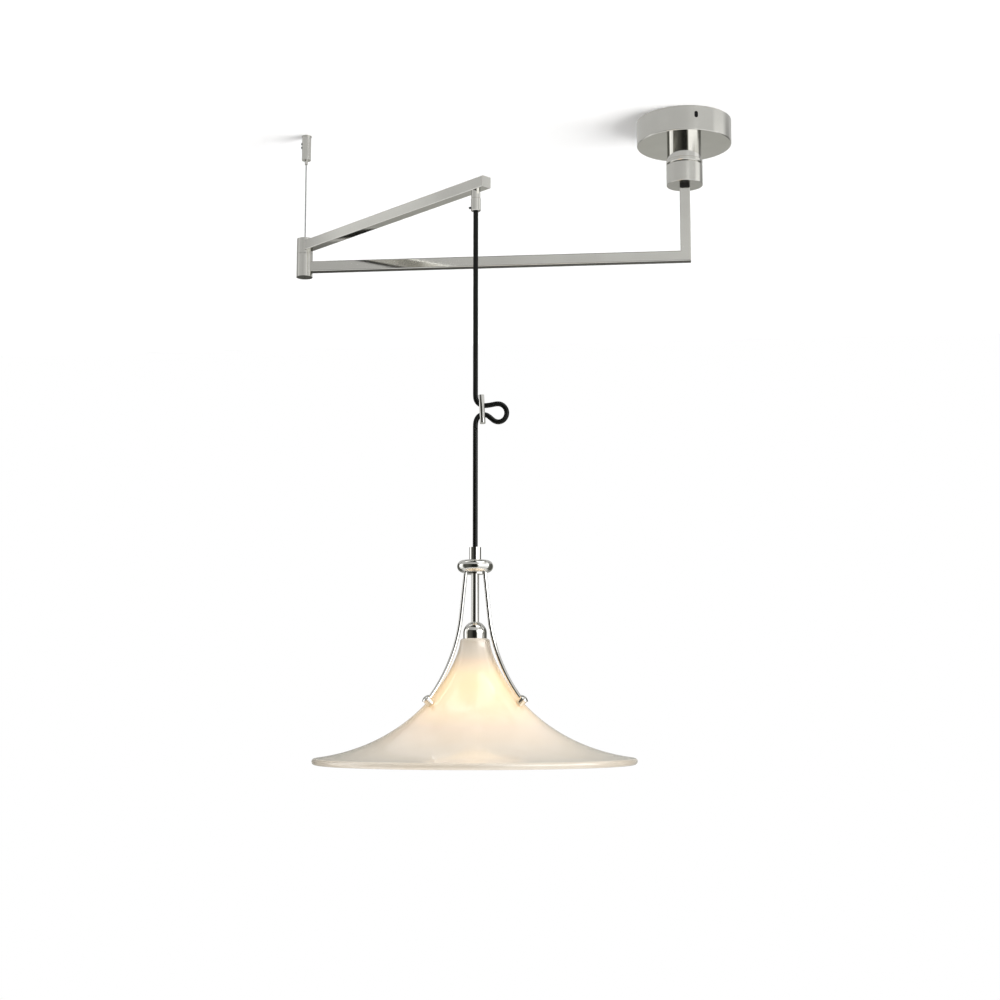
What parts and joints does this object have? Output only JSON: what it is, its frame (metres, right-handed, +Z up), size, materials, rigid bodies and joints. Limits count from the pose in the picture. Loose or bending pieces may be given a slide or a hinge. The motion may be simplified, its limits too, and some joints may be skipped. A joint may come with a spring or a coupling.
{
  "type": "swing arm pendant light",
  "caption": "Ceiling canopy with a swivelling square arm, a cable-held knuckle, a second arm and a bell-shaped cased glass pendant shade on a looped cord.",
  "frame": {"origin": "Centre of the canopy's ceiling face, which lies in the plane z = 0.", "axes": "+Z up into the ceiling, -X along the lower arm from the canopy to the knuckle, +Y away from the viewer."},
  "size_m": [0.6455, 0.5272, 0.9242],
  "materials": {
    "nickel": "satin",
    "chrome": "polished",
    "steel": "plain",
    "brass": "plain",
    "black": "matte",
    "cord": "smooth round cord jacket",
    "lead": "matte",
    "ivory": "moulded",
    "washer": "soft",
    "opal_glass": "clear over opal, polished",
    "bulb": "frosted"
  },
  "bodies": {
    "ceiling_base": {"ceiling_bracket": "steel", "canopy_cover": "nickel", "canopy_screws": "chrome", "backing_plate": "steel", "neck_screws": "steel", "terminal_block": "ivory", "bearing_neck": "chrome", "bearing_ring": "nickel", "supply_lead": "lead"},
    "lower_arm": {"swivel_spindle": "steel", "spindle_nut": "brass", "swivel_collar": "nickel", "insulating_bush": "black", "arm_stud": "steel", "drop_tube": "nickel", "lower_arm_tube": "nickel", "lower_lead": "lead", "knuckle_lower": "nickel", "knuckle_keeper": "steel", "friction_washer": "washer", "suspension_cable": "steel", "cable_ball": "steel", "gripper_base": "steel", "gripper_sleeve": "chrome", "gripper_screws": "steel", "gripper_spring": "steel"},
    "release": {"release_nipple": "chrome", "gripper_chuck": "brass"},
    "upper_arm": {"knuckle_upper": "nickel", "knuckle_cap": "chrome", "upper_arm_tube": "nickel", "end_plug": "nickel", "upper_lead": "lead", "grip_nipple": "chrome", "nipple_nut": "brass", "cord_grip": "chrome", "grip_screw": "steel"},
    "swing_ring": {"flex_bush": "black"},
    "hanging_cord": {"cord_upper": "cord", "cord_loop": "cord", "cord_adjuster": "chrome", "cord_lower": "cord"},
    "pendant": {"pendant_sleeve": "chrome", "sleeve_screw": "steel", "holder_disc": "chrome", "disc_plate": "chrome", "stem": "chrome", "pendant_lead": "lead", "support_wires": "chrome", "knob_spacers": "chrome", "knob_screws": "chrome", "knob_nuts": "chrome", "glass_washers": "washer", "shade_glass": "opal_glass", "dome_cover": "chrome", "lampholder_shell": "nickel", "lampholder_insert": "ivory", "bulb_cap": "brass", "bulb_glass": "bulb"}
  },
  "joints": [
    {"name": "arm_swivel", "type": "hinge", "parent": "ceiling_base", "child": "lower_arm", "pos_m": [0, 0, -0.0746], "axis": [0, 0, 1], "range_deg": [-170, 170]},
    {"name": "elbow_swing", "type": "hinge", "parent": "lower_arm", "child": "upper_arm", "pos_m": [-0.5645, 0, -0.183], "axis": [0, 0, 1], "range_deg": [-315, 38]},
    {"name": "swing_x", "type": "hinge", "parent": "upper_arm", "child": "swing_ring", "pos_m": [-0.2781, -0.25428, -0.204], "axis": [1, 0, 0], "range_deg": [-15, 15]},
    {"name": "swing_y", "type": "hinge", "parent": "swing_ring", "child": "hanging_cord", "pos_m": [-0.2781, -0.25428, -0.204], "axis": [0, 1, 0], "range_deg": [-15, 15]},
    {"name": "height_adjust", "type": "slide", "parent": "hanging_cord", "child": "pendant", "axis": [0, 0, 1], "range_m": [-0.03, 0.12], "deforming": ["cord_lower"]},
    {"name": "release_press", "type": "slide", "parent": "lower_arm", "child": "release", "axis": [0, 0, 1], "range_m": [0, 0.002], "stiffness_N_per_m": 500, "deforming": ["gripper_spring"]}
  ]
}
